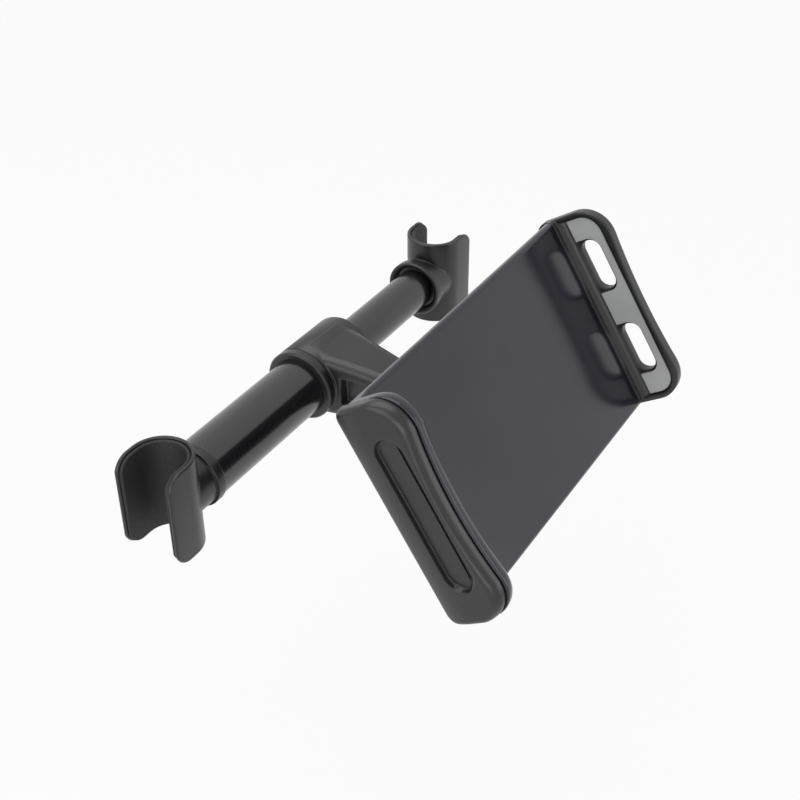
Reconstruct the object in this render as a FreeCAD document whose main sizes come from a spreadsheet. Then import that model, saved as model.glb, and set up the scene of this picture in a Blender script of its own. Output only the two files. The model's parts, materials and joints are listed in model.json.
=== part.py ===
import FreeCAD, Part
import os
import re
import Sketcher

# Headrest phone holder.
# A telescopic bar presses a lined hook against each headrest post. A tee on the bar carries
# a ball, and the clamp that grips the phone turns on that ball.
# Millimetres. X runs along the bar, Z up along the posts, and the clamp looks towards -Y.
# The origin is the centre of the left post's seat.

Vector = FreeCAD.Vector
document = FreeCAD.newDocument("headrest_phone_holder")
sheet = document.addObject("Spreadsheet::Sheet", "Sizes")

# Driving sizes
DRIVING_SIZES = {
    "post_spacing": 160.5,            # between the two posts at rest
    "tee_place": 82.75,               # from the left post to the middle of the tee
    "post_seat_radius": 7.9,          # inside the rubber liner
    "liner_thickness": 1.25,
    "liner_inset": 0.5,               # the liner stops short of the hook's rim
    "hook_wall": 1.25,
    "hook_height": 33.0,
    "hook_lip_reach": 8.8,            # from the post's axis to the hook's open edge
    "hook_corner_radius": 6.0,
    "hook_stem_radius": 9.6,          # round stem between the hook and its collar
    "collar_radius": 10.5,
    "collar_start": 12.6,
    "collar_reach": 16.25,            # from the post's axis to the collar's end
    "collar_chamfer": 0.5,
    "collar_bore_radius": 8.3,
    "collar_back_wall": 2.2,
    "hook_screw_radius": 2.0,
    "hook_screw_head_radius": 3.6,
    "hook_screw_head_height": 1.2,
    "outer_tube_radius": 10.0,
    "outer_tube_wall": 1.2,
    "inner_tube_radius": 7.3,
    "inner_tube_wall": 1.0,
    "left_plug_end": 23.0,
    "right_tube_seat": 14.0,          # the inner tube stops here, inside the right collar
    "right_plug_end": 25.0,
    "running_gap": 0.05,              # radial clearance of a piece that turns or slides
    "screw_gap": 0.1,                 # radial clearance round a screw
    "inner_tube_start": 58.0,
    "lock_ring_length": 8.0,
    "lock_flange": 1.2,
    "lock_pin_radius": 4.5,
    "lock_plug_length": 10.0,
    "lock_end_gap": 0.1,
    "lock_screw_radius": 1.5,
    "lock_screw_head_radius": 6.0,
    "lock_screw_head_height": 1.8,
    "bush_length": 12.0,
    "tee_left_reach": 13.5,           # from the middle of the tee
    "tee_right_reach": 15.0,
    "tee_end_wall": 4.0,
    "tee_left_radius": 12.5,
    "tee_right_radius": 12.3,
    "tee_end_chamfer": 1.2,
    "sleeve_ring_width": 2.9,
    "sleeve_groove": 0.6,
    "sleeve_ring_gap": 0.3,           # between the ring and the neck beside it
    "tube_mouth_gap": 0.35,           # round the inner tube where it leaves the tee
    "neck_start": 1.5,
    "neck_start_left": 10.4,          # sides of the neck inside the sleeve, from the middle of the tee
    "neck_start_right": 13.4,
    "neck_start_height": 24.7,
    "neck_end_side": 6.6,
    "neck_end_height": 15.6,
    "neck_edge_radius": 4.2,
    "neck_web_width": 12.0,           # between the two side recesses
    "neck_recess_height": 10.0,
    "neck_recess_start": 14.0,
    "neck_recess_end": 33.0,
    "set_screw_radius": 2.0,
    "set_screw_place": 4.0,           # left of the middle of the tee
    "set_screw_sink": 0.2,
    "ball_reach": 55.4,               # from the bar's axis to the ball's centre
    "ball_radius": 8.5,
    "ball_stem_radius": 3.25,
    "ball_neck_length": 16.5,         # from the ball's centre to the neck's end
    "stud_flange_radius": 5.5,
    "stud_flange_height": 1.5,
    "stud_shank_radius": 3.0,
    "stud_shank_length": 11.0,
    "ball_layer_gap": 0.03,           # clearance between the spherical layers of the joint
    "ball_pad_thickness": 0.6,
    "ball_pad_half_angle": 28.0,
    "ball_liner_thickness": 1.0,
    "socket_half_angle": 67.0,        # mouth of the socket, seen from the ball's centre
    "tray_tilt": 32.5,                # how far the tray leans back from upright
    "ball_drop": 22.7,                # from the tray's face to the ball's centre
    "boss_radius": 12.2,
    "nut_radius": 15.0,
    "nut_top": 12.0,                  # below the tray's face
    "nut_skirt": 5.5,                 # past the ball's centre
    "nut_end_gap": 0.3,               # between the boss's end and the nut
    "nut_grip_radius": 1.3,
    "nut_grip_count": 18,
    "clamp_half_length": 66.5,
    "clamp_half_width": 36.3,
    "jaw_rise": 17.8,                 # of the sliding jaw, above the tray's face
    "jaw_dip": 1.2,                   # the rim is lower in the middle
    "fixed_jaw_rise": 16.7,
    "fixed_jaw_dip": 2.4,
    "fixed_jaw_rim": 1.8,             # above the pad's pocket in the middle of the fixed jaw
    "jaw_dip_margin": 1.0,            # level rim between the dip and each corner
    "jaw_corner_radius": 10.5,
    "jaw_foot_radius": 4.0,
    "jaw_edge_radius": 1.8,
    "jaw_wall": 2.8,
    "jaw_lip": 1.8,                   # the rim stands this far in from the wall
    "jaw_rim_height": 3.0,
    "jaw_rim_end": 1.8,
    "jaw_inner_radius": 7.0,
    "fixed_jaw_fillet": 1.6,
    "jaw_cove_radius": 3.3,           # at the foot of the sliding jaw
    "housing_depth": 8.2,             # below the tray's face
    "housing_side_step": 2.8,         # the tray overhangs the housing by this much
    "housing_wall": 1.8,
    "tray_thickness": 2.6,
    "jaw_apron_length": 6.5,          # from the tray's end to the sliding jaw's outer face
    "tray_edge_radius": 1.7,
    "tray_seam": 0.3,                 # between the tray and the sliding jaw
    "cover_thickness": 3.9,
    "cover_rim_step": 1.0,            # the cover stops this far below the rim
    "recess_half_length": 25.2,
    "recess_bottom": 0.5,
    "recess_top": 11.3,
    "recess_depth": 1.2,
    "groove_half_length": 23.0,
    "groove_bottom": 8.1,
    "groove_width": 0.5,
    "groove_depth": 0.6,
    "jaw_hole_place": 16.2,           # each side of the middle
    "jaw_hole_half_length": 9.25,
    "jaw_hole_radius": 3.7,
    "jaw_hole_height": 7.2,
    "pad_thickness": 1.0,
    "pad_margin": 0.5,
    "pad_bottom": 3.6,
    "pad_hole_margin": 0.8,
    "pad_foot_radius": 1.5,
    "leg_width": 11.0,
    "leg_boss_gap": 0.9,              # between a leg and the screws' bosses
    "stop_rib_length": 8.7,           # the rib that stops the legs ends at the housing's right wall
    "leg_gap": 0.2,
    "leg_tab": 3.5,
    "leg_tab_length": 4.0,
    "rib_width": 1.5,
    "rib_gap": 0.3,
    "jaw_travel": 75.0,
    "case_screw_place": 45.0,
    "case_screw_inset": 3.5,          # in from the housing's side
    "case_screw_radius": 1.25,
    "case_screw_head_radius": 2.6,
    "case_screw_head_height": 1.4,
    "case_screw_bite": 1.4,           # into the tray
    "case_boss_radius": 2.6,
    "spring_radius": 1.1,             # of the coil's middle line
    "spring_wire_radius": 0.4,
    "spring_pitch": 5.0,
    "spring_tab_gap": 3.5,            # between a spring and the tab of the leg beside it
    "spring_setback": 8.6,            # from the housing's left wall
    "spring_peg_radius": 1.0,
}

# Sizes that follow from the driving ones
DERIVED_SIZES = {
    "shell_inner_radius": "post_seat_radius + liner_thickness",
    "shell_outer_radius": "shell_inner_radius + hook_wall",
    "collar_bore_floor": "shell_inner_radius + collar_back_wall",
    "hook_head_end": "shell_inner_radius + hook_screw_head_height",
    "outer_tube_bore": "outer_tube_radius - outer_tube_wall",
    "inner_tube_bore": "inner_tube_radius - inner_tube_wall",
    "tube_mouth_radius": "inner_tube_radius + tube_mouth_gap",
    "tee_wall_start": "tee_right_reach - tee_end_wall",
    "outer_tube_end": "tee_place + tee_wall_start",
    "inner_tube_end": "post_spacing - right_tube_seat",
    "lock_ring_end": "inner_tube_start - lock_flange - lock_end_gap",
    "lock_pin_start": "inner_tube_start - lock_flange - lock_ring_length",
    "tee_body_start": "-tee_left_reach + sleeve_ring_width",
    "neck_end": "ball_reach - ball_neck_length",
    "ball_pad_inner": "ball_radius + ball_layer_gap",
    "ball_pad_outer": "ball_pad_inner + ball_pad_thickness",
    "ball_liner_inner": "ball_pad_outer + ball_layer_gap",
    "ball_liner_outer": "ball_liner_inner + ball_liner_thickness",
    "socket_radius": "ball_liner_outer + ball_layer_gap",
    "nut_bottom": "ball_drop + nut_skirt",
    "nut_thread_end": "ball_drop + nut_end_gap",
    "cover_seat": "-clamp_half_length + cover_thickness",
    "jaw_thickness": "jaw_wall + jaw_lip",
    "jaw_inner_face": "clamp_half_length - jaw_thickness",
    "tray_right_end": "clamp_half_length - jaw_apron_length",
    "tray_joint_end": "tray_right_end - housing_wall",
    "jaw_pad_seat": "clamp_half_length - jaw_wall",
    "tray_pad_seat": "cover_seat + jaw_wall",
    "jaw_recess_top": "jaw_rise - jaw_rim_height",
    "fixed_recess_top": "fixed_jaw_rise - fixed_jaw_dip - fixed_jaw_rim",
    "jaw_recess_side": "clamp_half_width - jaw_rim_end",
    "dip_half_span": "clamp_half_width - jaw_corner_radius - jaw_dip_margin",
    "pad_side": "jaw_recess_side - pad_margin",
    "pad_corner_radius": "jaw_inner_radius - pad_margin",
    "housing_half_width": "clamp_half_width - housing_side_step",
    "housing_floor": "housing_depth - housing_wall",
    "case_screw_side": "housing_half_width - case_screw_inset",
    "leg_outer_side": "case_screw_side - case_boss_radius - leg_boss_gap",
    "leg_inner_side": "leg_outer_side - leg_width",
    "leg_bottom": "housing_floor - leg_gap",
    "leg_thickness": "leg_bottom - tray_thickness - leg_gap",
    "stop_rib_start": "tray_joint_end - stop_rib_length",
    "leg_start": "stop_rib_start - rib_gap - jaw_travel - leg_tab_length",
    "spring_outer_radius": "spring_radius + spring_wire_radius",
    "spring_place": "leg_inner_side - leg_tab - spring_tab_gap - spring_outer_radius",
    "spring_height": "(housing_floor + tray_thickness) / 2",
    "spring_start": "cover_seat + housing_wall + spring_setback",
    "spring_end": "jaw_inner_face - spring_wire_radius - leg_gap",
}


def write_sheet():
    """Put every size in the sheet under its own name."""
    row = 0
    for name, value in DRIVING_SIZES.items():
        row += 1
        sheet.set(f"A{row}", name)
        sheet.set(f"B{row}", str(value))
        sheet.setAlias(f"B{row}", name)
    for name, formula in DERIVED_SIZES.items():
        row += 1
        sheet.set(f"A{row}", name)
        sheet.set(f"B{row}", "=" + formula)
        sheet.setAlias(f"B{row}", name)
    document.recompute()


def bound(formula):
    """The formula with each size name pointed at the sheet."""
    return re.sub(r"[a-z]+(?:_[a-z]+)+", lambda match: "Sizes." + match.group(0), formula)


def size(formula):
    """The number a formula stands for."""
    return float(sheet.evalExpression(bound(formula)))


# Building blocks: bodies, sketches and features
def new_body(label):
    body = document.addObject("PartDesign::Body", label)
    body.Label = label
    return body


def sketch_on(body, plane_role, offset):
    """A sketch on one of the body's own planes, moved along the plane's normal."""
    sketch = body.newObject("Sketcher::SketchObject", "outline")
    plane = next(item for item in body.Origin.OriginFeatures if item.Role == plane_role)
    sketch.AttachmentSupport = [(plane, "")]
    sketch.MapMode = "FlatFace"
    sketch.setExpression("AttachmentOffset.Base.z", bound(offset))
    return sketch


def fix_point(sketch, geometry, point, across, up):
    """Hold one point of a sketch at a place given by two formulas."""
    for kind, formula in (("DistanceX", across), ("DistanceY", up)):
        held = Sketcher.Constraint(kind, -1, 1, geometry, point, size(formula))
        number = sketch.addConstraint(held)
        sketch.setExpression(f"Constraints[{number}]", bound(formula))


def draw_polygon(sketch, corners):
    """A closed outline through corners given as pairs of formulas."""
    points = [Vector(size(across), size(up), 0) for across, up in corners]
    first = sketch.GeometryCount
    count = len(points)
    for index in range(count):
        sketch.addGeometry(Part.LineSegment(points[index], points[(index + 1) % count]))
    for index in range(count):
        after = first + (index + 1) % count
        sketch.addConstraint(Sketcher.Constraint("Coincident", first + index, 2, after, 1))
    for index, (across, up) in enumerate(corners):
        fix_point(sketch, first + index, 1, across, up)


def draw_rectangle(sketch, low_across, low_up, high_across, high_up):
    corners = [(low_across, low_up), (high_across, low_up), (high_across, high_up), (low_across, high_up)]
    draw_polygon(sketch, corners)


def draw_circle(sketch, across, up, radius):
    centre = Vector(size(across), size(up), 0)
    number = sketch.addGeometry(Part.Circle(centre, Vector(0, 0, 1), size(radius)))
    fix_point(sketch, number, 3, across, up)
    held = sketch.addConstraint(Sketcher.Constraint("Radius", number, size(radius)))
    sketch.setExpression(f"Constraints[{held}]", bound(radius))


def pad(body, sketch, length):
    feature = body.newObject("PartDesign::Pad", "pad")
    feature.Profile = sketch
    feature.setExpression("Length", bound(length))
    return finish_feature(body, feature)


def pocket(body, sketch, depth, along_normal=False):
    """Cut against the sketch's normal, or along it."""
    feature = body.newObject("PartDesign::Pocket", "pocket")
    feature.Profile = sketch
    feature.Reversed = along_normal
    feature.setExpression("Length", bound(depth))
    return finish_feature(body, feature)


def turn(body, kind, corners):
    """Revolve or groove an outline of (along X, radius) corners about the body's X axis."""
    sketch = sketch_on(body, "XZ_Plane", "0")
    draw_polygon(sketch, corners)
    feature = body.newObject("PartDesign::" + kind, kind.lower())
    feature.Profile = sketch
    feature.ReferenceAxis = (sketch, ["H_Axis"])
    feature.Angle = 360
    return finish_feature(body, feature)


def round_edges(body, kind, amount, wanted):
    """Fillet or chamfer the edges of the tip that the test picks."""
    base = body.Tip
    names = [f"Edge{number}" for number, edge in enumerate(base.Shape.Edges, 1) if wanted(edge)]
    feature = body.newObject("PartDesign::" + kind, kind.lower())
    feature.Base = (base, names)
    feature.setExpression("Radius" if kind == "Fillet" else "Size", bound(amount))
    return finish_feature(body, feature)


def finish_feature(body, feature):
    body.Tip = feature
    document.recompute()
    return feature


def runs_along(edge, direction):
    if edge.Curve.TypeId != "Part::GeomLine":
        return False
    return abs(edge.Curve.Direction.dot(direction)) > 0.999


def close(value, formula):
    return abs(value - size(formula)) < 0.01


def corner_edge(along, **places):
    """A test for straight edges along one axis at given distances from the middle planes."""
    def wanted(edge):
        middle = edge.CenterOfMass
        if not runs_along(edge, along):
            return False
        return all(close(abs(getattr(middle, axis)), formula) for axis, formula in places.items())
    return wanted


X_AXIS = Vector(1, 0, 0)
Y_AXIS = Vector(0, 1, 0)


def place(item, x="0", y="0", z="0", axis=X_AXIS, angle="0"):
    """Move a finished piece to its place in the whole object."""
    item.Placement = FreeCAD.Placement(Vector(), FreeCAD.Rotation(axis, 1))
    item.setExpression("Placement.Base.x", bound(x))
    item.setExpression("Placement.Base.y", bound(y))
    item.setExpression("Placement.Base.z", bound(z))
    item.setExpression("Placement.Rotation.Angle", bound(angle))
    return item


def place_at_left_post(item):
    return place(item)


def place_at_right_post(item):
    return place(item, x="post_spacing", axis=Vector(0, 0, 1), angle="180")


def place_on_ball(item):
    """The item's own Z axis points from the ball back to the bar."""
    return place(item, x="tee_place", y="-ball_reach", angle="-90")


def place_on_clamp(item):
    """The item's X runs along the tray, Y across it and Z out of its face."""
    reach = "-ball_reach - ball_drop * cos(tray_tilt * 1deg)"
    rise = "ball_drop * sin(tray_tilt * 1deg)"
    return place(item, x="tee_place", y=reach, z=rise, angle="90 - tray_tilt")


def primitive(kind, label, **formulas):
    """A plain solid with its sizes bound to the sheet."""
    item = document.addObject("Part::" + kind, label)
    for name, formula in formulas.items():
        item.setExpression(name.replace("__", "."), bound(formula))
    document.recompute()
    return item


def joined(label, *items):
    result = document.addObject("Part::MultiFuse", label)
    result.Shapes = list(items)
    result.Refine = True
    document.recompute()
    return result


def cut(label, base, tool):
    result = document.addObject("Part::Cut", label)
    result.Base = base
    result.Tool = tool
    document.recompute()
    return result


# Hooks and what fixes them to the tubes
def hook_outline(body, radius, height, lip_reach):
    """The outside of a U that opens towards -X."""
    disc = sketch_on(body, "XY_Plane", f"-({height}) / 2")
    draw_circle(disc, "0", "0", radius)
    pad(body, disc, height)
    legs = sketch_on(body, "XY_Plane", f"-({height}) / 2")
    draw_rectangle(legs, f"-({lip_reach})", f"-{radius}", "0", radius)
    pad(body, legs, height)


def hook_hollow(body, radius, height):
    """The inside of the U, out through its mouth."""
    well = sketch_on(body, "XY_Plane", f"({height}) / 2")
    draw_circle(well, "0", "0", radius)
    pocket(body, well, height)
    mouth = sketch_on(body, "XY_Plane", f"({height}) / 2")
    draw_rectangle(mouth, f"-2 * {radius}", f"-{radius}", "0", radius)
    pocket(body, mouth, height)


def round_leg_corners(body, height, lip_reach, radius):
    at_corner = corner_edge(Y_AXIS, x=lip_reach, z=f"({height}) / 2")
    round_edges(body, "Fillet", radius, lambda edge: at_corner(edge) and edge.CenterOfMass.x < 0)


def make_hook(label):
    body = new_body(label)
    hook_outline(body, "shell_outer_radius", "hook_height", "hook_lip_reach")
    stem = sketch_on(body, "YZ_Plane", "0")
    draw_circle(stem, "0", "0", "hook_stem_radius")
    pad(body, stem, "collar_reach")
    collar = sketch_on(body, "YZ_Plane", "collar_start")
    draw_circle(collar, "0", "0", "collar_radius")
    pad(body, collar, "collar_reach - collar_start")
    round_edges(body, "Chamfer", "collar_chamfer", lambda edge: close(edge.BoundBox.XMin, "collar_reach"))
    hook_hollow(body, "shell_inner_radius", "hook_height")
    round_leg_corners(body, "hook_height", "hook_lip_reach", "hook_corner_radius")
    bore = sketch_on(body, "YZ_Plane", "collar_reach")
    draw_circle(bore, "0", "0", "collar_bore_radius")
    pocket(body, bore, "collar_reach - collar_bore_floor")
    screw_hole = sketch_on(body, "YZ_Plane", "collar_bore_floor")
    draw_circle(screw_hole, "0", "0", "hook_screw_radius + screw_gap")
    pocket(body, screw_hole, "collar_bore_floor")
    head_seat = sketch_on(body, "YZ_Plane", "hook_head_end")
    draw_circle(head_seat, "0", "0", "hook_screw_head_radius + screw_gap")
    pocket(body, head_seat, "hook_head_end")
    return body


def make_hook_liner(label):
    body = new_body(label)
    height = "hook_height - 2 * liner_inset"
    lip_reach = "hook_lip_reach - liner_inset"
    hook_outline(body, "shell_inner_radius", height, lip_reach)
    hook_hollow(body, "post_seat_radius", height)
    round_leg_corners(body, height, lip_reach, "hook_corner_radius - liner_inset")
    return body


def make_left_plug():
    body = new_body("left_tube_plug")
    turn(body, "Revolution", [
        ("collar_bore_floor", "hook_screw_radius"),
        ("collar_bore_floor", "collar_bore_radius"),
        ("collar_reach", "collar_bore_radius"),
        ("collar_reach", "outer_tube_bore"),
        ("left_plug_end", "outer_tube_bore"),
        ("left_plug_end", "hook_screw_radius"),
    ])
    return body


def make_right_plug():
    body = new_body("right_tube_plug")
    turn(body, "Revolution", [
        ("collar_bore_floor", "hook_screw_radius"),
        ("collar_bore_floor", "collar_bore_radius"),
        ("right_tube_seat", "collar_bore_radius"),
        ("right_tube_seat", "inner_tube_bore"),
        ("right_plug_end", "inner_tube_bore"),
        ("right_plug_end", "hook_screw_radius"),
    ])
    return body


def make_hook_screw(label, tip):
    body = new_body(label)
    turn(body, "Revolution", [
        ("shell_inner_radius", "0"),
        ("shell_inner_radius", "hook_screw_head_radius"),
        ("hook_head_end", "hook_screw_head_radius"),
        ("hook_head_end", "hook_screw_radius"),
        (tip, "hook_screw_radius"),
        (tip, "0"),
    ])
    head = sketch_on(body, "XY_Plane", "hook_screw_head_radius")
    draw_circle(head, "0", "0", "shell_inner_radius")
    pocket(body, head, "2 * hook_screw_head_radius")
    return body


# Telescopic bar
def make_ring(label, start, end, inner, outer):
    """A plain tube about the bar's axis."""
    body = new_body(label)
    turn(body, "Revolution", [(start, inner), (start, outer), (end, outer), (end, inner)])
    return place(body)


def make_lock_core():
    """Plug in the end of the inner tube that carries the friction ring."""
    body = new_body("lock_core")
    flange_start = "inner_tube_start - lock_flange"
    plug_end = "inner_tube_start + lock_plug_length"
    turn(body, "Revolution", [
        ("lock_pin_start", "lock_screw_radius"),
        ("lock_pin_start", "lock_pin_radius"),
        (flange_start, "lock_pin_radius"),
        (flange_start, "inner_tube_radius"),
        ("inner_tube_start", "inner_tube_radius"),
        ("inner_tube_start", "inner_tube_bore"),
        (plug_end, "inner_tube_bore"),
        (plug_end, "lock_screw_radius"),
    ])
    return place(body)


def make_lock_screw():
    body = new_body("lock_screw")
    head_start = "lock_pin_start - lock_screw_head_height"
    turn(body, "Revolution", [
        (head_start, "0"),
        (head_start, "lock_screw_head_radius"),
        ("lock_pin_start", "lock_screw_head_radius"),
        ("lock_pin_start", "lock_screw_radius"),
        ("inner_tube_start", "lock_screw_radius"),
        ("inner_tube_start", "0"),
    ])
    return place(body)


# Tee with its neck
def make_tee():
    body = new_body("tee_body")
    sections = []
    for distance, left, right, height in (
            ("neck_start", "neck_start_left", "neck_start_right", "neck_start_height"),
            ("neck_end", "neck_end_side", "neck_end_side", "neck_end_height")):
        section = sketch_on(body, "XZ_Plane", distance)
        draw_rectangle(section, f"-{left}", f"-{height} / 2", right, f"{height} / 2")
        sections.append(section)
    neck = body.newObject("PartDesign::AdditiveLoft", "neck")
    neck.Profile = sections[0]
    neck.Sections = [sections[1]]
    neck.Ruled = True
    finish_feature(body, neck)
    round_edges(body, "Fillet", "neck_edge_radius", lambda edge: edge.BoundBox.YLength > 1.0)
    groove_end = "tee_body_start + sleeve_groove"
    groove_radius = "tee_left_radius - sleeve_groove"
    turn(body, "Revolution", [
        ("tee_body_start", "0"),
        ("tee_body_start", groove_radius),
        (groove_end, groove_radius),
        (groove_end, "tee_left_radius"),
        ("tee_right_reach - tee_end_chamfer", "tee_right_radius"),
        ("tee_right_reach", "tee_right_radius - tee_end_chamfer"),
        ("tee_right_reach", "0"),
    ])
    turn(body, "Groove", [
        ("-2 * tee_left_reach", "0"),
        ("-2 * tee_left_reach", "tee_left_radius + sleeve_ring_gap"),
        ("tee_body_start", "tee_left_radius + sleeve_ring_gap"),
        ("tee_body_start", "outer_tube_radius"),
        ("tee_wall_start", "outer_tube_radius"),
        ("tee_wall_start", "tube_mouth_radius"),
        ("2 * tee_right_reach", "tube_mouth_radius"),
        ("2 * tee_right_reach", "0"),
    ])
    for side in ("-", "+"):
        recess = sketch_on(body, "YZ_Plane", f"{side}neck_web_width / 2")
        half_height = "neck_recess_height / 2"
        draw_rectangle(recess, "-neck_recess_end", f"-{half_height}", "-neck_recess_start", half_height)
        pocket(body, recess, "neck_start_right", along_normal=(side == "+"))
    stud_hole = sketch_on(body, "XZ_Plane", "neck_end")
    draw_circle(stud_hole, "0", "0", "stud_shank_radius")
    pocket(body, stud_hole, "stud_shank_length")
    screw_hole = sketch_on(body, "XY_Plane", "0")
    draw_circle(screw_hole, "-set_screw_place", "0", "set_screw_radius")
    pocket(body, screw_hole, "2 * tee_left_radius")
    return place(body, x="tee_place")


def make_sleeve_ring():
    body = new_body("sleeve_ring")
    inner_edge = "tee_left_radius - sleeve_groove"
    turn(body, "Revolution", [
        ("-tee_left_reach", "outer_tube_radius"),
        ("-tee_left_reach", inner_edge),
        ("-tee_left_reach + sleeve_groove", "tee_left_radius"),
        ("tee_body_start", "tee_left_radius"),
        ("tee_body_start", "outer_tube_radius"),
    ])
    return place(body, x="tee_place")


def make_set_screw():
    body = new_body("tee_set_screw")
    sketch = sketch_on(body, "XY_Plane", "-tee_right_radius + set_screw_sink")
    draw_circle(sketch, "-set_screw_place", "0", "set_screw_radius")
    pad(body, sketch, "tee_right_radius - set_screw_sink - outer_tube_radius")
    return place(body, x="tee_place")


# Ball joint
def make_ball_stud():
    ball = primitive("Sphere", "ball", Radius="ball_radius")
    stem = primitive("Cylinder", "stem", Radius="ball_stem_radius", Height="ball_neck_length")
    flange_start = "ball_neck_length - stud_flange_height"
    flange = primitive("Cylinder", "stud_flange", Radius="stud_flange_radius",
                       Height="stud_flange_height", Placement__Base__z=flange_start)
    shank = primitive("Cylinder", "stud_shank", Radius="stud_shank_radius",
                      Height="stud_shank_length", Placement__Base__z="ball_neck_length")
    return place_on_ball(joined("ball_stud", ball, stem, flange, shank))


def make_ball_pad():
    """Friction pad that rests on the far side of the ball."""
    cap = primitive("Sphere", "pad_cap", Radius="ball_pad_outer", Angle2="-90 + ball_pad_half_angle")
    inside = primitive("Sphere", "pad_inside", Radius="ball_pad_inner")
    return place_on_ball(cut("ball_pad", cap, inside))


def make_ball_liner():
    """Cup between the friction pad and the socket."""
    cup = primitive("Sphere", "liner_cup", Radius="ball_liner_outer",
                    Angle1="socket_half_angle - 90", Placement__Base__z="-ball_drop")
    inside = primitive("Sphere", "liner_inside", Radius="ball_liner_inner", Placement__Base__z="-ball_drop")
    return place_on_clamp(cut("ball_liner", cup, inside))


def make_ring_nut():
    body = new_body("nut_blank")
    blank = sketch_on(body, "XY_Plane", "-nut_bottom")
    draw_circle(blank, "0", "0", "nut_radius")
    pad(body, blank, "nut_bottom - nut_top")
    grip = sketch_on(body, "XY_Plane", "-nut_top")
    draw_circle(grip, "nut_radius + nut_grip_radius / 3", "0", "nut_grip_radius")
    grip_cut = pocket(body, grip, "nut_bottom - nut_top")
    around = body.newObject("PartDesign::PolarPattern", "grips")
    around.Originals = [grip_cut]
    around.Axis = (grip, ["N_Axis"])
    around.Angle = 360
    around.setExpression("Occurrences", bound("nut_grip_count"))
    finish_feature(body, around)
    thread = sketch_on(body, "XY_Plane", "-nut_top")
    draw_circle(thread, "0", "0", "boss_radius + running_gap")
    pocket(body, thread, "nut_thread_end - nut_top")
    hollow = primitive("Sphere", "nut_hollow", Radius="socket_radius", Placement__Base__z="-ball_drop")
    mouth = primitive("Cone", "nut_mouth", Radius1="(nut_bottom - ball_drop) * tan(socket_half_angle * 1deg)",
                      Radius2="0", Height="nut_bottom - ball_drop", Placement__Base__z="-nut_bottom")
    return place_on_clamp(cut("ring_nut", cut("nut_with_hollow", body, hollow), mouth))


# Clamp case
def case_screw_places():
    return [(f"{u}case_screw_place", f"{v}case_screw_side") for u in ("-", "+") for v in ("-", "+")]


def make_rear_housing():
    body = new_body("housing_blank")
    shell = sketch_on(body, "XY_Plane", "-housing_depth")
    draw_rectangle(shell, "cover_seat", "-housing_half_width", "tray_right_end", "housing_half_width")
    pad(body, shell, "housing_depth - tray_thickness")
    cavity = sketch_on(body, "XY_Plane", "-tray_thickness")
    inner_side = "housing_half_width - housing_wall"
    draw_rectangle(cavity, "cover_seat + housing_wall", f"-({inner_side})", "tray_joint_end", inner_side)
    pocket(body, cavity, "housing_floor - tray_thickness")
    window = sketch_on(body, "XY_Plane", "-tray_thickness")
    window_side = "leg_outer_side + rib_gap"
    window_start, window_end = "tray_joint_end - rib_gap", "tray_right_end + rib_gap"
    draw_rectangle(window, window_start, f"-({window_side})", window_end, window_side)
    pocket(body, window, "housing_floor - tray_thickness")
    rib_height = "housing_floor - tray_thickness"
    ribs = sketch_on(body, "XY_Plane", "-housing_floor")
    rib_start = "cover_seat + housing_wall"
    for low, high in (("leg_outer_side + rib_gap", "leg_outer_side + rib_gap + rib_width"),
                      ("-leg_outer_side - rib_gap - rib_width", "-leg_outer_side - rib_gap")):
        draw_rectangle(ribs, rib_start, low, "tray_joint_end", high)
    for low, high in (("leg_inner_side - rib_gap - rib_width", "leg_inner_side - rib_gap"),
                      ("-leg_inner_side + rib_gap", "-leg_inner_side + rib_gap + rib_width")):
        draw_rectangle(ribs, "stop_rib_start", low, "tray_joint_end", high)
    pad(body, ribs, rib_height)
    posts = sketch_on(body, "XY_Plane", "-housing_floor")
    for across, up in case_screw_places():
        draw_circle(posts, across, up, "case_boss_radius")
    for side in ("-", "+"):
        draw_circle(posts, "spring_start - spring_radius", f"{side}spring_place", "spring_peg_radius")
    pad(body, posts, rib_height)
    boss = sketch_on(body, "XY_Plane", "-ball_drop")
    draw_circle(boss, "0", "0", "boss_radius")
    pad(body, boss, "ball_drop - housing_depth")
    holes = sketch_on(body, "XY_Plane", "-tray_thickness")
    heads = sketch_on(body, "XY_Plane", "-housing_depth + case_screw_head_height")
    for across, up in case_screw_places():
        draw_circle(holes, across, up, "case_screw_radius + screw_gap")
        draw_circle(heads, across, up, "case_screw_head_radius + screw_gap")
    pocket(body, holes, "housing_depth")
    pocket(body, heads, "case_screw_head_height")
    hollow = primitive("Sphere", "socket_hollow", Radius="socket_radius", Placement__Base__z="-ball_drop")
    return place_on_clamp(cut("rear_housing", body, hollow))


def jaw_blank(body, start, thickness, bottom, top, dip):
    """A jaw's upright with rounded upper corners and a rim that dips in the middle.

    The dip is a circle through its lowest point and both its ends.
    """
    face = sketch_on(body, "YZ_Plane", start)
    draw_rectangle(face, "-clamp_half_width", bottom, "clamp_half_width", top)
    pad(body, face, thickness)
    upper = corner_edge(X_AXIS, y="clamp_half_width", z=top)
    round_edges(body, "Fillet", "jaw_corner_radius", lambda edge: upper(edge) and edge.CenterOfMass.z > 0)
    radius = f"(dip_half_span ^ 2 + {dip} ^ 2) / (2 * {dip})"
    hollow = sketch_on(body, "YZ_Plane", f"{start} + {thickness}")
    draw_circle(hollow, "0", f"{top} - {dip} + {radius}", radius)
    pocket(body, hollow, thickness)


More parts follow.
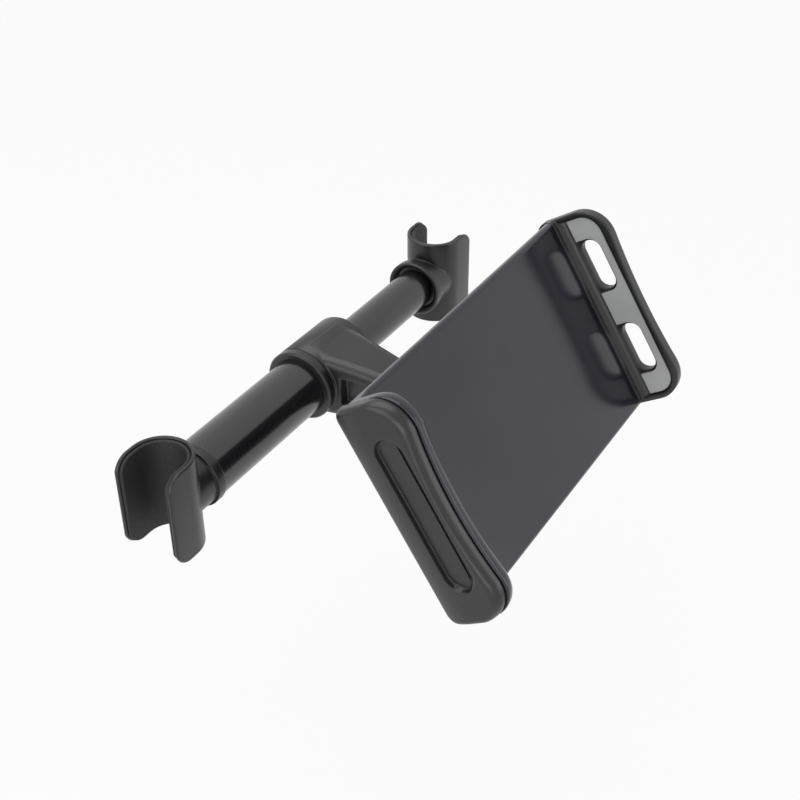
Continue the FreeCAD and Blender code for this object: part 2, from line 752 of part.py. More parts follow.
def jaw_recess(body, face, recess_top, along_normal):
    """The shallow pocket the grip pad sits in, round at its upper corners and open at the tray's face."""
    straight_side = "(jaw_recess_side - jaw_inner_radius)"
    shoulder = f"({recess_top} - jaw_inner_radius)"
    for half_width, top in (("jaw_recess_side", shoulder), (straight_side, recess_top)):
        bar = sketch_on(body, "YZ_Plane", face)
        draw_rectangle(bar, f"-{half_width}", "0", half_width, top)
        pocket(body, bar, "jaw_lip", along_normal)
    for side in ("-", "+"):
        corner = sketch_on(body, "YZ_Plane", face)
        draw_circle(corner, side + straight_side, shoulder, "jaw_inner_radius")
        pocket(body, corner, "jaw_lip", along_normal)


def make_front_tray():
    body = new_body("front_tray")
    jaw_blank(body, "cover_seat", "jaw_thickness", "-tray_thickness", "fixed_jaw_rise", "fixed_jaw_dip")
    floor = sketch_on(body, "XY_Plane", "-tray_thickness")
    draw_rectangle(floor, "cover_seat", "-clamp_half_width", "tray_right_end", "clamp_half_width")
    pad(body, floor, "tray_thickness")
    jaw_recess(body, "cover_seat + jaw_thickness", "fixed_recess_top", along_normal=False)
    foot = corner_edge(Y_AXIS, x="-tray_pad_seat", z="0")
    round_edges(body, "Fillet", "fixed_jaw_fillet", foot)
    long_edge = corner_edge(X_AXIS, y="clamp_half_width", z="0")
    round_edges(body, "Fillet", "tray_edge_radius", long_edge)
    holes = sketch_on(body, "XY_Plane", "-tray_thickness + case_screw_bite")
    for across, up in case_screw_places():
        draw_circle(holes, across, up, "case_screw_radius")
    pocket(body, holes, "case_screw_bite")
    return place_on_clamp(body)


def make_jaw_cover():
    """Outer skin of the left jaw, with a long recess as a finger grip."""
    body = new_body("left_jaw_cover")
    jaw_blank(body, "-clamp_half_length", "cover_thickness", "-housing_depth",
              "fixed_jaw_rise - cover_rim_step", "fixed_jaw_dip")
    lower = corner_edge(X_AXIS, y="clamp_half_width", z="housing_depth")
    round_edges(body, "Fillet", "jaw_foot_radius", lower)
    outer_face = "-clamp_half_length"
    round_edges(body, "Fillet", "jaw_edge_radius", lambda edge: close(edge.BoundBox.XMax, outer_face))
    recess_radius = "(recess_top - recess_bottom) / 2"
    recess_height = "(recess_top + recess_bottom) / 2"
    draw_slot_pocket(body, outer_face, "0", recess_height, f"recess_half_length - {recess_radius}",
                     recess_radius, "recess_depth", along_normal=True)
    groove = sketch_on(body, "YZ_Plane", outer_face)
    groove_top = "groove_bottom + groove_width"
    draw_rectangle(groove, "-groove_half_length", "groove_bottom", "groove_half_length", groove_top)
    pocket(body, groove, "recess_depth + groove_depth", along_normal=True)
    return place_on_clamp(body)


def draw_slot_pocket(body, face, across, up, half_straight, radius, depth, along_normal):
    """A pocket with two round ends: a bar and a circle at each end of it."""
    bar = sketch_on(body, "YZ_Plane", face)
    draw_rectangle(bar, f"{across} - ({half_straight})", f"{up} - {radius}",
                   f"{across} + ({half_straight})", f"{up} + {radius}")
    pocket(body, bar, depth, along_normal)
    for side in ("-", "+"):
        end = sketch_on(body, "YZ_Plane", face)
        draw_circle(end, f"{across} {side} ({half_straight})", up, radius)
        pocket(body, end, depth, along_normal)


def make_sliding_jaw():
    """Right jaw with the two legs that slide inside the case."""
    body = new_body("right_jaw")
    jaw_blank(body, "jaw_inner_face", "jaw_thickness", "-housing_depth", "jaw_rise", "jaw_dip")
    lower = corner_edge(X_AXIS, y="clamp_half_width", z="housing_depth")
    round_edges(body, "Fillet", "jaw_foot_radius", lower)
    outer_face = "clamp_half_length"
    round_edges(body, "Fillet", "jaw_edge_radius", lambda edge: close(edge.BoundBox.XMin, outer_face))
    jaw_recess(body, "jaw_inner_face", "jaw_recess_top", along_normal=True)
    apron = sketch_on(body, "XY_Plane", "-tray_thickness")
    draw_rectangle(apron, "tray_right_end + tray_seam", "-clamp_half_width", "jaw_pad_seat", "clamp_half_width")
    pad(body, apron, "tray_thickness")
    round_edges(body, "Fillet", "tray_edge_radius", corner_edge(X_AXIS, y="clamp_half_width", z="0"))
    foot = sketch_on(body, "XZ_Plane", "-jaw_recess_side")
    draw_rectangle(foot, "tray_right_end + tray_seam", "-tray_thickness", "jaw_pad_seat", "jaw_cove_radius")
    pad(body, foot, "2 * jaw_recess_side")
    cove = sketch_on(body, "XZ_Plane", "jaw_recess_side")
    draw_circle(cove, "jaw_pad_seat - jaw_cove_radius", "jaw_cove_radius", "jaw_cove_radius")
    pocket(body, cove, "2 * jaw_recess_side")
    half_straight = "jaw_hole_half_length - jaw_hole_radius"
    for side in ("-", "+"):
        draw_slot_pocket(body, outer_face, f"{side}jaw_hole_place", "jaw_hole_height", half_straight,
                         "jaw_hole_radius", "jaw_thickness", along_normal=False)
    legs = sketch_on(body, "XY_Plane", "-leg_bottom")
    tabs = sketch_on(body, "XY_Plane", "-leg_bottom")
    tab_end = "leg_start + leg_tab_length"
    draw_rectangle(legs, "leg_start", "leg_inner_side", "jaw_pad_seat", "leg_outer_side")
    draw_rectangle(legs, "leg_start", "-leg_outer_side", "jaw_pad_seat", "-leg_inner_side")
    draw_rectangle(tabs, "leg_start", "leg_inner_side - leg_tab", tab_end, "leg_inner_side")
    draw_rectangle(tabs, "leg_start", "-leg_inner_side", tab_end, "-leg_inner_side + leg_tab")
    pad(body, legs, "leg_thickness")
    pad(body, tabs, "leg_thickness")
    return place_on_clamp(body)


def pad_blank(body, start, recess_top):
    """A grip pad that fills the jaw's recess but for a margin."""
    top = f"{recess_top} - pad_margin"
    face = sketch_on(body, "YZ_Plane", start)
    draw_rectangle(face, "-pad_side", "pad_bottom", "pad_side", top)
    pad(body, face, "pad_thickness")
    round_edges(body, "Fillet", "pad_corner_radius", corner_edge(X_AXIS, y="pad_side", z=top))


def make_left_pad():
    body = new_body("left_jaw_pad")
    pad_blank(body, "tray_pad_seat", "fixed_recess_top")
    round_edges(body, "Fillet", "pad_foot_radius", corner_edge(X_AXIS, y="pad_side", z="pad_bottom"))
    return place_on_clamp(body)


def make_right_pad():
    """Grip pad with a notch round each hole of the sliding jaw."""
    body = new_body("right_jaw_pad")
    pad_blank(body, "jaw_pad_seat - pad_thickness", "jaw_recess_top")
    radius = "(jaw_hole_radius + pad_hole_margin)"
    half_straight = "jaw_hole_half_length - jaw_hole_radius"
    half_notch = f"{half_straight} + {radius}"
    for side in ("-", "+"):
        centre = f"{side}jaw_hole_place"
        draw_slot_pocket(body, "jaw_pad_seat", centre, "jaw_hole_height", half_straight, radius,
                         "pad_thickness", along_normal=False)
        notch = sketch_on(body, "YZ_Plane", "jaw_pad_seat")
        notch_start, notch_end = f"{centre} - ({half_notch})", f"{centre} + ({half_notch})"
        draw_rectangle(notch, notch_start, "0", notch_end, "jaw_hole_height")
        pocket(body, notch, "pad_thickness")
    return place_on_clamp(body)


def make_case_screws():
    """Four screws that hold the tray to the housing from behind."""
    screws = []
    for across, up in case_screw_places():
        head = primitive("Cylinder", "case_screw_head", Radius="case_screw_head_radius",
                         Height="case_screw_head_height", Placement__Base__x=across,
                         Placement__Base__y=up, Placement__Base__z="-housing_depth")
        length = "housing_depth - tray_thickness + case_screw_bite"
        shank = primitive("Cylinder", "case_screw_shank", Radius="case_screw_radius", Height=length,
                          Placement__Base__x=across, Placement__Base__y=up, Placement__Base__z="-housing_depth")
        screws.append(joined("case_screw", head, shank))
    group = document.addObject("Part::Compound", "case_screws")
    group.Links = screws
    document.recompute()
    return place_on_clamp(group)


def make_jaw_springs():
    """Two coil springs that pull the sliding jaw home."""
    length = size("spring_end - spring_start")
    radius = size("spring_radius")
    coils = []
    for side in (-1, 1):
        spine = Part.makeHelix(size("spring_pitch"), length, radius)
        wire_end = Part.Wire(Part.makeCircle(size("spring_wire_radius"), Vector(radius, 0, 0), Y_AXIS))
        coil = Part.Wire(spine.Edges).makePipeShell([wire_end], True, True)
        coil.rotate(Vector(), Y_AXIS, 90)
        coil.translate(Vector(size("spring_start"), side * size("spring_place"), -size("spring_height")))
        coils.append(Part.Solid(coil) if coil.ShapeType == "Shell" else coil)
    item = document.addObject("Part::Feature", "jaw_springs")
    item.Shape = Part.makeCompound(coils)
    return place_on_clamp(item)


def build():
    """Every sub-part, in the order it is put together."""
    return [
        place_at_left_post(make_hook("left_hook")),
        place_at_left_post(make_hook_liner("left_hook_liner")),
        place_at_left_post(make_left_plug()),
        place_at_left_post(make_hook_screw("left_hook_screw", "left_plug_end - screw_gap")),
        make_ring("outer_tube", "collar_reach", "outer_tube_end", "outer_tube_bore", "outer_tube_radius"),
        make_ring("guide_bush", "outer_tube_end - bush_length", "outer_tube_end",
                  "inner_tube_radius + running_gap", "outer_tube_bore"),
        make_tee(),
        make_sleeve_ring(),
        make_set_screw(),
        make_ball_stud(),
        make_ring("lock_ring", "lock_pin_start + lock_end_gap", "lock_ring_end",
                  "lock_pin_radius + running_gap", "outer_tube_bore - running_gap"),
        make_ring("inner_tube", "inner_tube_start", "inner_tube_end", "inner_tube_bore", "inner_tube_radius"),
        make_lock_core(),
        make_lock_screw(),
        place_at_right_post(make_right_plug()),
        place_at_right_post(make_hook_screw("right_hook_screw", "right_plug_end - screw_gap")),
        place_at_right_post(make_hook("right_hook")),
        place_at_right_post(make_hook_liner("right_hook_liner")),
        make_ball_pad(),
        make_ball_liner(),
        make_ring_nut(),
        make_rear_housing(),
        make_front_tray(),
        make_jaw_cover(),
        make_left_pad(),
        make_case_screws(),
        make_jaw_springs(),
        make_sliding_jaw(),
        make_right_pad(),
    ]


def check(pieces):
    for item in document.Objects:
        if "Invalid" in item.State or "Error" in item.State:
            raise RuntimeError(f"{item.Label} did not build")
    for piece in pieces:
        if piece.Shape.isNull() or not piece.Shape.isValid():
            raise RuntimeError(f"{piece.Label} has no sound shape")


write_sheet()
sub_parts = build()
document.recompute()
check(sub_parts)
os.makedirs("parts", exist_ok=True)
for sub_part in sub_parts:
    sub_part.Shape.exportStep(f"parts/{sub_part.Label}.step")
    solids = len(sub_part.Shape.Solids)
    print(f"{sub_part.Label}: {solids} solid, {sub_part.Shape.Volume:.0f} mm3")
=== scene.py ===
# %% [markdown]
# # Headrest phone holder
# A telescopic bar hooks against the two posts of a car seat's headrest. A tee on the bar carries
# a ball, and the clamp that grips the phone turns on that ball.
# The CAD model has every piece in its place already, so it is loaded first and never moved.
# The lesson then gives each surface its finish, and makes the mouldings that show most once more,
# with the soft edges that come out of a real mould.

# %% Load the CAD model
import json
import math

import bpy
import numpy as np
from mathutils import Matrix


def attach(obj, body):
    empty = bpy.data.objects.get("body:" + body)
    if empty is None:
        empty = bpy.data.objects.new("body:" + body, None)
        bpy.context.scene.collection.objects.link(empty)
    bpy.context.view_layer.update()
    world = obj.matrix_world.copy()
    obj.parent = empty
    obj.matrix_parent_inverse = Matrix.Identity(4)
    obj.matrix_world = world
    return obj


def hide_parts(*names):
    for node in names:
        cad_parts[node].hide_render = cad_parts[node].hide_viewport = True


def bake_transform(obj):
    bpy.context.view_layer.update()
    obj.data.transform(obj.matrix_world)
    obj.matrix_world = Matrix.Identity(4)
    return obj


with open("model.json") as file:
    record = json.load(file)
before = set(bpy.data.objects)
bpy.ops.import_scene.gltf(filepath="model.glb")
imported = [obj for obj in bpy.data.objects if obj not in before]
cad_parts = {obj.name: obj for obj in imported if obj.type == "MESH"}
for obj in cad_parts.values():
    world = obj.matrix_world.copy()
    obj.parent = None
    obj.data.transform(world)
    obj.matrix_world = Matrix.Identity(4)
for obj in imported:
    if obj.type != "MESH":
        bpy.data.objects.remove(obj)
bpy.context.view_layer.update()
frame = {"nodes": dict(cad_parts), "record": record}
nodes = frame["nodes"]
print("CAD nodes:", len(nodes))

# %% [markdown]
# ## Sizes
# Blender works in metres and the drawing in millimetres. These are the drawing's own values for
# the pieces that are made again below, so a new piece lands exactly where its solid is.

# %% Sizes shared by several pieces
MM = 0.001
POST_SPACING = 160.5
TEE_PLACE = 82.75
BALL_REACH = 55.4
BALL_DROP = 22.7
TRAY_TILT = math.radians(32.5)
CLAMP_HALF_LENGTH = 66.5
CLAMP_HALF_WIDTH = 36.3


def on_clamp(along, across, out):
    """Clamp coordinates to the object's: along the tray, up across it, and out of its face."""
    lean, rise = math.sin(TRAY_TILT), math.cos(TRAY_TILT)
    x = TEE_PLACE + along
    y = -BALL_REACH - BALL_DROP * rise + across * lean - out * rise
    z = BALL_DROP * lean + across * rise + out * lean
    return np.stack(np.broadcast_arrays(x, y, z), axis=-1)


print("middle of the tray's face, mm:", np.round(on_clamp(0.0, 0.0, 0.0), 1))

# %% [markdown]
# ## Finishes
# The holder is nearly all black, so its finishes differ in grain, gloss and edge more than in
# colour. One recipe serves them all. Broad, weak noise moves the colour between two tones, a fine
# noise stands up as bump for the grain of the mould, and the Bevel node rounds the shading at sharp
# edges. Where that rounded direction parts from the true one there is an edge, and there the colour
# is made a little lighter: partly wear where hands and posts rub, partly a painted highlight along
# the edge. The sliding jaw keeps its CAD solid, so it gets a finish of its own, with a broader
# rounding of its edges.

# %% A recipe for moulded and coated surfaces
PATCH_SCALE = 60.0
# How much lighter edges turn: partly rubbed wear, partly a painted highlight.
EDGE_WEAR_AND_HIGHLIGHT_GAIN = 2.5
EDGE_WEAR_AND_HIGHLIGHT_LIFT = 0.03


def new_node(tree, kind, **sockets):
    """A shader node with some of its sockets set by name."""
    node = tree.nodes.new("ShaderNode" + kind)
    for name, value in sockets.items():
        node.inputs[name.replace("_", " ")].default_value = value
    return node


def tone_ramp(tree, dark, light):
    """A ramp from one tone to another over the middle of the noise."""
    ramp = tree.nodes.new("ShaderNodeValToRGB")
    ramp.color_ramp.elements[0].position = 0.35
    ramp.color_ramp.elements[1].position = 0.65
    ramp.color_ramp.elements[0].color = (*dark, 1)
    ramp.color_ramp.elements[1].color = (*light, 1)
    return ramp


def make_finish(name, dark, light, gloss, grain, depth, edge, wear_and_highlight=0.3, metallic=0.0, ior=1.5):
    """gloss holds the lowest and highest roughness; grain, depth and edge are in millimetres."""
    finish = bpy.data.materials.new(name)
    finish.use_nodes = True
    tree = finish.node_tree
    link = tree.links.new
    shader = tree.nodes["Principled BSDF"]
    shader.inputs["Metallic"].default_value = metallic
    shader.inputs["IOR"].default_value = ior
    place = tree.nodes.new("ShaderNodeTexCoord")
    patches = new_node(tree, "TexNoise", Scale=PATCH_SCALE, Detail=5.0)
    grains = new_node(tree, "TexNoise", Scale=1 / (grain * MM), Detail=3.0)
    for texture in (patches, grains):
        link(place.outputs["Object"], texture.inputs["Vector"])
    tone = tone_ramp(tree, dark, light)
    link(patches.outputs["Fac"], tone.inputs["Fac"])
    rounded = new_node(tree, "Bevel", Radius=edge * MM)
    rounded.samples = 6
    surface = tree.nodes.new("ShaderNodeNewGeometry")
    likeness = tree.nodes.new("ShaderNodeVectorMath")
    likeness.operation = "DOT_PRODUCT"
    link(rounded.outputs["Normal"], likeness.inputs[0])
    link(surface.outputs["Normal"], likeness.inputs[1])
    # Edge mask: edges are lifted lighter, partly as rubbed wear and partly as a painted highlight.
    edge_wear_and_highlight = new_node(tree, "MapRange", From_Min=0.99, From_Max=0.80, To_Min=0.0, To_Max=wear_and_highlight)
    link(likeness.outputs["Value"], edge_wear_and_highlight.inputs["Value"])
    colour = tree.nodes.new("ShaderNodeMix")
    colour.data_type = "RGBA"
    edge_wear_and_highlight_tone = [min(1.0, EDGE_WEAR_AND_HIGHLIGHT_GAIN * part + EDGE_WEAR_AND_HIGHLIGHT_LIFT) for part in light]
    colour.inputs["B"].default_value = (*edge_wear_and_highlight_tone, 1)
    link(edge_wear_and_highlight.outputs["Result"], colour.inputs["Factor"])
    link(tone.outputs["Color"], colour.inputs["A"])
    link(colour.outputs["Result"], shader.inputs["Base Color"])
    rough = new_node(tree, "MapRange", From_Min=0.3, From_Max=0.7, To_Min=gloss[0], To_Max=gloss[1])
    link(grains.outputs["Fac"], rough.inputs["Value"])
    link(rough.outputs["Result"], shader.inputs["Roughness"])
    bump = new_node(tree, "Bump", Strength=0.6, Distance=depth * MM)
    link(grains.outputs["Fac"], bump.inputs["Height"])
    link(rounded.outputs["Normal"], bump.inputs["Normal"])
    link(bump.outputs["Normal"], shader.inputs["Normal"])
    return finish


# %% Finishes by material slot
SATIN_BLACK = ((0.013, 0.013, 0.014), (0.018, 0.018, 0.019), (0.26, 0.38), 0.45, 0.015)
FINISHES = {
    "black_plastic": make_finish("satin_black", *SATIN_BLACK, edge=0.5),
    "tray_plastic": make_finish("satin_dark_grey", (0.013, 0.0125, 0.022), (0.017, 0.0165, 0.027),
                                (0.15, 0.22), 0.35, 0.006, 0.5),
    "tube_metal": make_finish("coated_tube", (0.010, 0.010, 0.012), (0.014, 0.014, 0.016),
                              (0.14, 0.24), 0.30, 0.005, 0.3, ior=1.65),
    "black_rubber": make_finish("lining_rubber", (0.009, 0.009, 0.010), (0.014, 0.014, 0.014),
                                (0.55, 0.75), 0.50, 0.03, 0.3),
    "grey_pad": make_finish("soft_grey_pad", (0.46, 0.465, 0.465), (0.52, 0.525, 0.525),
                            (0.45, 0.60), 0.40, 0.02, 0.3, wear_and_highlight=0.1),
    "white_plastic": make_finish("natural_plastic", (0.60, 0.59, 0.56), (0.70, 0.69, 0.66),
                                 (0.40, 0.55), 0.45, 0.02, 0.3, wear_and_highlight=0.1),
    "steel": make_finish("plain_steel", (0.45, 0.45, 0.46), (0.56, 0.56, 0.57),
                         (0.25, 0.40), 0.20, 0.01, 0.2, metallic=1.0),
}
for sub_part in frame["record"]["subparts"]:
    nodes[sub_part["node"]].material_slots[0].material = FINISHES[sub_part["material_slot"]]
# The sliding jaw gets less of the lighter edge tone, which is partly wear and partly painted highlight.
soft_edged = make_finish("soft_edged_black", *SATIN_BLACK, edge=1.3, wear_and_highlight=0.1)
nodes["right_jaw"].material_slots[0].material = soft_edged
print("finishes:", ", ".join(FINISHES))

# %% [markdown]
# ## Meshes from arrays
# Each new piece is worked out as one array of points on a grid. Two small helpers turn such a grid
# into faces: one joins neighbouring rows, and one closes a run of rings at both ends. The
# enclosed volume tells whether the faces look outwards, so no piece needs turning by hand.

# %% Helpers that turn grids of points into pieces
def grid_faces(rows, columns, wrap):
    """Quads between grid corners; with wrap, the last column meets the first."""
    row = np.arange(rows - 1)[:, None] * columns
    column = np.arange(columns if wrap else columns - 1)[None, :]
    after = (column + 1) % columns
    corners = (row + column, row + after, row + columns + after, row + columns + column)
    return np.stack(np.broadcast_arrays(*corners), axis=-1).reshape(-1, 4)


def ring_faces(rings):
    """Faces of a run of closed rings, with one flat face over each end."""
    rows, columns = rings.shape[:2]
    ends = [list(range(columns))[::-1], list(range((rows - 1) * columns, rows * columns))]
    return grid_faces(rows, columns, wrap=True).tolist() + ends


def enclosed_volume(points, faces):
    """Sum over the quads of a . (b x c) / 6 for each of their two triangles, about the middle."""
    quads = np.array([face for face in faces if len(face) == 4])
    a, b, c, d = (points[quads[:, corner]] - points.mean(axis=0) for corner in range(4))
    return np.einsum("ij,ij->", a, np.cross(b, c) + np.cross(c, d)) / 6


def make_piece(name, grids, replaced, body, slot):
    """One object from (points, faces) grids, riding on a body, if one is named, for a CAD node."""
    all_points, all_faces, start = [], [], 0
    for points, faces in grids:
        points = points.reshape(-1, 3) * MM
        step = 1 if enclosed_volume(points, faces) > 0 else -1
        all_faces += [[start + corner for corner in face[::step]] for face in faces]
        all_points.append(points)
        start += len(points)
    mesh = bpy.data.meshes.new(name)
    mesh.from_pydata(np.concatenate(all_points).tolist(), [], all_faces)
    mesh.shade_smooth()
    mesh.set_sharp_from_angle(angle=math.radians(42))
    mesh.materials.append(FINISHES[slot])
    piece = bpy.data.objects.new(name, mesh)
    bpy.context.scene.collection.objects.link(piece)
    if body:
        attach(piece, body)
    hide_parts(replaced)
    print(f"{name}: {len(mesh.vertices)} points, {len(mesh.polygons)} faces")
    return piece


def rounded_loops(half_wide, half_high, radius, arc_steps=8, side_steps=1):
    """Rounded rectangles, one a row: corner centre + radius * (cos, sin), and straight sides between."""
    sizes = np.broadcast_arrays(np.atleast_1d(half_wide), half_high, radius)
    wide, high, radius = (np.asarray(size, float)[:, None] for size in sizes)
    arcs = []
    for quarter, (side, top) in enumerate(((1, 1), (-1, 1), (-1, -1), (1, -1))):
        angle = (quarter + np.linspace(0, 1, arc_steps)) * np.pi / 2
        across = side * (wide - radius) + radius * np.cos(angle)
        up = top * (high - radius) + radius * np.sin(angle)
        arcs.append(np.stack([across, up], axis=-1))
    share = np.linspace(0, 1, side_steps + 1)[1:-1][None, :, None]
    loop = []
    for quarter in range(4):
        after = arcs[(quarter + 1) % 4]
        loop += [arcs[quarter], arcs[quarter][:, -1:] * (1 - share) + after[:, :1] * share]
    return np.concatenate(loop, axis=1)


def turned(profile, steps=128):
    """A closed profile of (x, radius) carried round the X axis."""
    x, radius = np.array(profile, float).T
    angle = np.linspace(0, 2 * np.pi, steps, endpoint=False)
    y, z = radius[:, None] * np.cos(angle), radius[:, None] * np.sin(angle)
    rings = np.stack(np.broadcast_arrays(x[:, None], y, z), axis=-1)
    rings = np.concatenate([rings, rings[:1]])
    return rings, grid_faces(rings.shape[0], steps, wrap=True).tolist()


def arc(centre_x, centre_r, radius, first, last, steps=7):
    """Profile points on a quarter round."""
    angle = np.radians(np.linspace(first, last, steps))
    return list(zip(centre_x + radius * np.cos(angle), centre_r + radius * np.sin(angle)))


def spaced(stops, counts):
    """Values from stop to stop, each stretch with its own count, and no stop twice."""
    runs = [np.linspace(low, high, count)[1:] for low, high, count in zip(stops, stops[1:], counts)]
    return np.concatenate([stops[:1], *runs])


def ease(low, high, value):
    """0 below low, 1 above high and a smooth step between: 3q^2 - 2q^3."""
    share = np.clip((value - low) / (high - low), 0, 1)
    return share * share * (3 - 2 * share)


# %% [markdown]
# ## Hooks
# A hook is a thin upright wall bent into a U round the post, with a round stem behind it that ends
# in a collar for the tube. A lining of rubber sits inside the U. Bevelled CAD edges could do, but
# the rim that shows in front is a true half round. So the wall is a rounded section carried
# along the U, and that section gets lower towards the tips, which rounds their corners.

# %% The U of a hook
SEAT_RADIUS = 7.9
LINER_OUTER = 9.15
SHELL_OUTER = 10.4
HOOK_HEIGHT = 33.0
HOOK_REACH = 8.8
HOOK_CORNER = 6.0
SHELL_RIM = 0.6
LINING_RIM = 0.55
LINING_GAP = 0.06
LINING_STEP = 0.5


def hook_band(inner, outer, height, reach, corner, rim):
    """Rounded sections along leg, half circle and leg.

    At a distance d from the tip the half height is h/2 - c + sqrt(c^2 - (c - d)^2) for d < c, and
    the half thickness is that of a half round nose: t * sqrt(1 - (1 - d/rim)^2) for d < rim.
    """
    middle, half_wall = (inner + outer) / 2, (outer - inner) / 2
    nose = rim * (1 - np.cos(np.linspace(0.12, np.pi / 2, 8)))
    tip = np.concatenate([nose, spaced((rim, corner, reach), (22, 6))[1:-1]])
    bend = np.linspace(np.pi / 2, -np.pi / 2, 72)
    from_tip = np.concatenate([tip, np.full(bend.size, reach), tip[::-1]])
    x = np.concatenate([tip - reach, middle * np.cos(bend), tip[::-1] - reach])
    y = np.concatenate([np.full(tip.size, middle), middle * np.sin(bend), np.full(tip.size, -middle)])
    turn = np.concatenate([np.full(tip.size, np.pi / 2), bend, np.full(tip.size, -np.pi / 2)])
    drop = corner - np.sqrt(np.clip(corner**2 - np.clip(corner - from_tip, 0, None) ** 2, 0, None))
    thick = half_wall * np.sqrt(1 - np.clip(1 - from_tip / rim, 0, None) ** 2)
    section = rounded_loops(thick, height / 2 - drop, np.minimum(thick * 0.98, rim), arc_steps=7)
    out, up = section[..., 0], section[..., 1]
    x = x[:, None] + out * np.cos(turn)[:, None]
    y = y[:, None] + out * np.sin(turn)[:, None]
    rings = np.stack([x, y, up], axis=-1)
    return rings, ring_faces(rings)


# %% The stem and collar of a hook
STEM_RADIUS = 9.6
COLLAR_RADIUS = 10.5
COLLAR_START = 12.6
COLLAR_REACH = 16.25
COLLAR_BORE = 8.3
COLLAR_FLOOR = 11.35
COLLAR_SHOULDER = 0.4
COLLAR_ROUND = 0.6


def hook_stem():
    """Circles about X: out over the wall of the U, along the stem, over the collar, down its bore.

    Where the stem leaves the wall, a point lies at x0 = sqrt(R^2 - y^2). At the share t of its way
    to the collar it is at x0 + (x1 - x0) t.
    """
    wall = (LINER_OUTER + SHELL_OUTER) / 2
    profile = [(COLLAR_START, STEM_RADIUS)]
    profile += arc(COLLAR_START + COLLAR_SHOULDER, COLLAR_RADIUS - COLLAR_SHOULDER, COLLAR_SHOULDER, 180, 90)
    profile += arc(COLLAR_REACH - COLLAR_ROUND, COLLAR_RADIUS - COLLAR_ROUND, COLLAR_ROUND, 90, 10)
    profile += [(COLLAR_REACH - 0.1, COLLAR_BORE + 1.3), (COLLAR_REACH - 1.2, COLLAR_BORE + 0.3)]
    profile += [(COLLAR_REACH - 1.5, COLLAR_BORE), (COLLAR_FLOOR, COLLAR_BORE), (COLLAR_FLOOR, 0.3)]
    end, outer = np.array(profile).T
    grow = STEM_RADIUS * np.linspace(0.03, 1, 14)
    way = np.linspace(0, 1, 8)[1:-1]
    radius = np.concatenate([grow, np.full(way.size, STEM_RADIUS), outer])[:, None]
    share = np.concatenate([0 * grow, way, np.ones(end.size)])[:, None]
    end = np.concatenate([np.full(grow.size + way.size, COLLAR_START), end])[:, None]
    angle = np.linspace(0, 2 * np.pi, 96, endpoint=False)
    y, z = radius * np.cos(angle), radius * np.sin(angle)
    start = np.sqrt(np.clip(wall**2 - y**2, 0, None))
    rings = np.stack([start + (end - start) * share, y, z], axis=-1)
    return rings, ring_faces(rings)


def at_right_post(grid):
    """The same grid turned half round about the upright axis and moved to the right post."""
    points, faces = grid
    return points * (-1, -1, 1) + (POST_SPACING, 0, 0), faces


# %% Both hooks and their linings
shell = hook_band(LINER_OUTER, SHELL_OUTER, HOOK_HEIGHT, HOOK_REACH, HOOK_CORNER, SHELL_RIM)
stem = hook_stem()
lining = hook_band(SEAT_RADIUS, LINER_OUTER - LINING_GAP, HOOK_HEIGHT - 2 * LINING_STEP,
                   HOOK_REACH - LINING_STEP, HOOK_CORNER - LINING_STEP, LINING_RIM)
make_piece("left_hook_moulding", [shell, stem], "left_hook", "base", "black_plastic")
make_piece("left_lining", [lining], "left_hook_liner", "base", "black_rubber")
make_piece("right_hook_moulding", [at_right_post(shell), at_right_post(stem)],
           "right_hook", "reach", "black_plastic")
make_piece("right_lining", [at_right_post(lining)], "right_hook_liner", "reach", "black_rubber")

# %% [markdown]
# ## Tee
# The tee is a sleeve on the thick tube with a neck that reaches out to the ball. The sleeve is
# turned: a closed profile carried round the bar's axis. The neck is a run of rounded
# rectangles, flared where it leaves the sleeve so that its top flows out of the round, and
# sunk on both sides, as mouldings are to keep their walls even.

# %% The sleeve and the neck
TEE_LEFT = -10.6
TEE_RIGHT = 15.0
TEE_LEFT_RADIUS = 12.5
TEE_RIGHT_RADIUS = 12.3
TUBE_RADIUS = 10.0
TUBE_MOUTH = 7.65
TEE_WALL_START = 11.0
NECK_START = 1.5
NECK_END = 38.9
NECK_LEFT, NECK_RIGHT = -10.4, 13.4
NECK_END_SIDE = 6.6
NECK_RISE, NECK_END_RISE = 12.35, 7.8
NECK_CORNER = 4.2
NECK_WEB = 6.0
NECK_ROOT = 11.2
NECK_STOPS = (0, 0.06, 0.20, 0.74, 0.86, 0.97)
NECK_COUNTS = (4, 20, 12, 18, 4)
NECK_END_ROUND = 0.8
PANEL_START, PANEL_END = 13.6, 33.6
PANEL_HALF_HEIGHT = 5.3
PANEL_END_SLOPE, PANEL_SIDE_SLOPE = 1.0, 0.7
SLEEVE_GROOVE_WIDTH = 0.5
SLEEVE_GROOVE_DEPTH = 0.6
SLEEVE_END_ROUND = 1.4
SLEEVE_MOUTH_EDGE = 0.3


def tee_sleeve():
    """Groove beside the ring, a slightly tapered outside, a rounded right end, and the bores."""
    groove = TEE_LEFT_RADIUS - SLEEVE_GROOVE_DEPTH
    outside = [(TEE_LEFT, TUBE_RADIUS), (TEE_LEFT, groove), (TEE_LEFT + SLEEVE_GROOVE_WIDTH, groove)]
    outside += [(TEE_LEFT + 0.6, TEE_LEFT_RADIUS - 0.25), (TEE_LEFT + 0.9, TEE_LEFT_RADIUS)]
    outside += arc(TEE_RIGHT - SLEEVE_END_ROUND, TEE_RIGHT_RADIUS - SLEEVE_END_ROUND, SLEEVE_END_ROUND, 90, 0)
    inside = [(TEE_RIGHT, TUBE_MOUTH + SLEEVE_MOUTH_EDGE), (TEE_RIGHT - SLEEVE_MOUTH_EDGE, TUBE_MOUTH)]
    inside += [(TEE_WALL_START, TUBE_MOUTH), (TEE_WALL_START, TUBE_RADIUS)]
    return turned(outside + inside)


